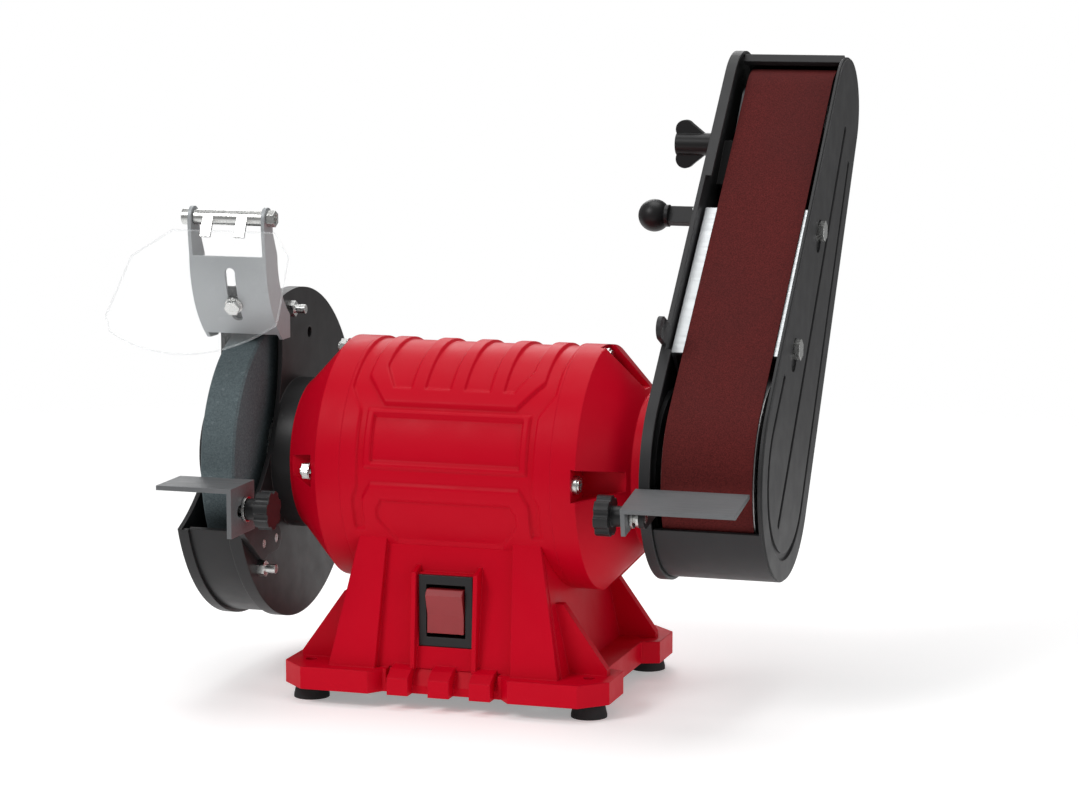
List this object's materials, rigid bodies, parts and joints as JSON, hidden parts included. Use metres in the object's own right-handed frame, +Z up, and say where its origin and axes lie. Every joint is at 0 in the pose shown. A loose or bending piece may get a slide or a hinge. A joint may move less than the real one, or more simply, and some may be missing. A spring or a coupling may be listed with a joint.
{
  "type": "bench grinder",
  "caption": "Bench grinder with a grinding wheel on the left of the motor and a tilting belt sander on the right, with guards, work rests, eye shield and rocker switch.",
  "frame": {"origin": "on the bench, at the middle of the four bolt holes in the feet, under the middle of the motor", "axes": "+X along the shaft towards the belt sander, +Y to the back, +Z up"},
  "size_m": [0.3647, 0.2997, 0.3498],
  "materials": {
    "red_casting": "smooth satin red enamel",
    "plate_steel": "black powder coat",
    "rubber": "matte",
    "zinc_steel": "bright zinc",
    "rest_steel": "dark satin zinc-plated sheet",
    "deflector_steel": "light satin zinc-plated sheet",
    "platen_steel": "bright sheet",
    "core_steel": "machined",
    "copper": "varnished copper winding",
    "cast_aluminium": "turned",
    "capacitor_can": "drawn can",
    "black_plastic": "moulded",
    "rocker_red": "gloss",
    "black_housing": "satin black",
    "abrasive_stone": "bonded grit",
    "abrasive_belt": "coated abrasive cloth",
    "clear_shield": "clear polycarbonate"
  },
  "bodies": {
    "frame": {"motor_shell": "red_casting", "left_end_bell": "red_casting", "right_end_bell": "red_casting", "base_housing": "red_casting", "base_plate": "plate_steel", "rubber_feet": "rubber", "base_plate_screws": "zinc_steel", "stator_core": "core_steel", "stator_windings": "copper", "run_capacitor": "capacitor_can", "through_bolts": "zinc_steel", "through_bolt_nuts": "zinc_steel", "switch_bezel": "black_plastic", "cable_gland": "black_plastic", "bearing_outer_rings": "core_steel", "inner_wheel_guard": "plate_steel", "outer_wheel_guard": "plate_steel", "guard_screws": "zinc_steel", "guard_mount_screws": "zinc_steel", "deflector_screw": "zinc_steel", "left_rest_bracket": "plate_steel", "left_rest_bolt": "zinc_steel", "arm_clamp_ring": "plate_steel", "arm_clamp_screws": "zinc_steel"},
    "rocker": {"switch_rocker": "rocker_red"},
    "rotor": {"motor_shaft": "core_steel", "rotor_core": "core_steel", "rotor_end_rings": "cast_aluminium", "bearing_inner_rings": "core_steel", "bearing_balls": "core_steel", "inner_wheel_flange": "zinc_steel", "outer_wheel_flange": "zinc_steel", "grinding_wheel": "abrasive_stone", "wheel_nut": "zinc_steel", "drive_pulley": "cast_aluminium", "pulley_nut": "zinc_steel"},
    "deflector": {"spark_deflector": "deflector_steel", "shield_pivot_bolt": "zinc_steel", "shield_pivot_nut": "zinc_steel"},
    "shield": {"eye_shield": "clear_shield", "shield_hinge_sleeve": "zinc_steel"},
    "left_rest": {"left_tool_rest": "rest_steel"},
    "left_knob": {"left_rest_knob": "black_plastic"},
    "arm": {"inner_housing": "black_housing", "outer_cover": "black_housing", "cover_screws": "zinc_steel", "platen": "platen_steel", "sanding_belt": "abrasive_belt", "lever_pivot_bolt": "zinc_steel", "right_rest_bracket": "plate_steel", "right_rest_bolt": "zinc_steel", "tension_spring": "core_steel"},
    "carriage": {"idler_carriage": "core_steel", "idler_axle": "core_steel"},
    "idler": {"idler_pulley": "cast_aluminium"},
    "lever": {"tension_lever": "black_housing", "lever_ball": "black_plastic"},
    "wing_knob": {"tracking_knob": "black_plastic"},
    "right_rest": {"right_tool_rest": "rest_steel"},
    "right_knob": {"right_rest_knob": "black_plastic"}
  },
  "joints": [
    {"name": "shaft_spin", "type": "hinge", "parent": "frame", "child": "rotor", "pos_m": [0, 0, 0.1265], "axis": [1, 0, 0], "continuous": true},
    {"name": "idler_spin", "type": "hinge", "parent": "carriage", "child": "idler", "pos_m": [0.143, 0.14875, 0.31485], "axis": [1, 0, 0], "continuous": true},
    {"name": "arm_tilt", "type": "hinge", "parent": "frame", "child": "arm", "pos_m": [0.11, 0, 0.1265], "axis": [1, 0, 0], "range_deg": [-51.7, 38.3]},
    {"name": "tension_lever_turn", "type": "hinge", "parent": "arm", "child": "lever", "pos_m": [0.099, 0.10288, 0.25677], "axis": [0, 0.7848, -0.6198], "range_deg": [0, 25]},
    {"name": "carriage_slide", "type": "slide", "parent": "arm", "child": "carriage", "axis": [0, 0.6198, 0.7848], "range_m": [-0.007, 0], "deforming": ["tension_spring"]},
    {"name": "tracking_knob_turn", "type": "hinge", "parent": "arm", "child": "wing_knob", "pos_m": [0.078, 0.12668, 0.29659], "axis": [1, 0, 0], "range_deg": [-180, 180]},
    {"name": "right_rest_slide", "type": "slide", "parent": "arm", "child": "right_rest", "axis": [0, -1, 0], "range_m": [0, 0.006]},
    {"name": "right_knob_turn", "type": "hinge", "parent": "arm", "child": "right_knob", "pos_m": [0.09, -0.078, 0.114], "axis": [1, 0, 0], "range_deg": [0, 360]},
    {"name": "left_rest_slide", "type": "slide", "parent": "frame", "child": "left_rest", "axis": [0, 1, 0], "range_m": [-0.003, 0.006]},
    {"name": "left_knob_turn", "type": "hinge", "parent": "frame", "child": "left_knob", "pos_m": [-0.09, -0.096, 0.11], "axis": [1, 0, 0], "range_deg": [0, 360]},
    {"name": "deflector_slide", "type": "hinge", "parent": "frame", "child": "deflector", "pos_m": [-0.127, 0, 0.243], "axis": [1, 0, 0], "range_deg": [-5, 4]},
    {"name": "shield_pivot", "type": "hinge", "parent": "deflector", "child": "shield", "pos_m": [-0.127, -0.056, 0.264], "axis": [1, 0, 0], "range_deg": [-100, 8]},
    {"name": "switch_rock", "type": "hinge", "parent": "frame", "child": "rocker", "pos_m": [0, -0.055, 0.0535], "axis": [1, 0, 0], "range_deg": [-8, 0]}
  ],
  "couplings": [
    {"joint": "idler_spin", "follows": "shaft_spin", "ratio": 2.3391},
    {"joint": "tension_lever_turn", "follows": "carriage_slide", "rad_per_m": -62}
  ]
}
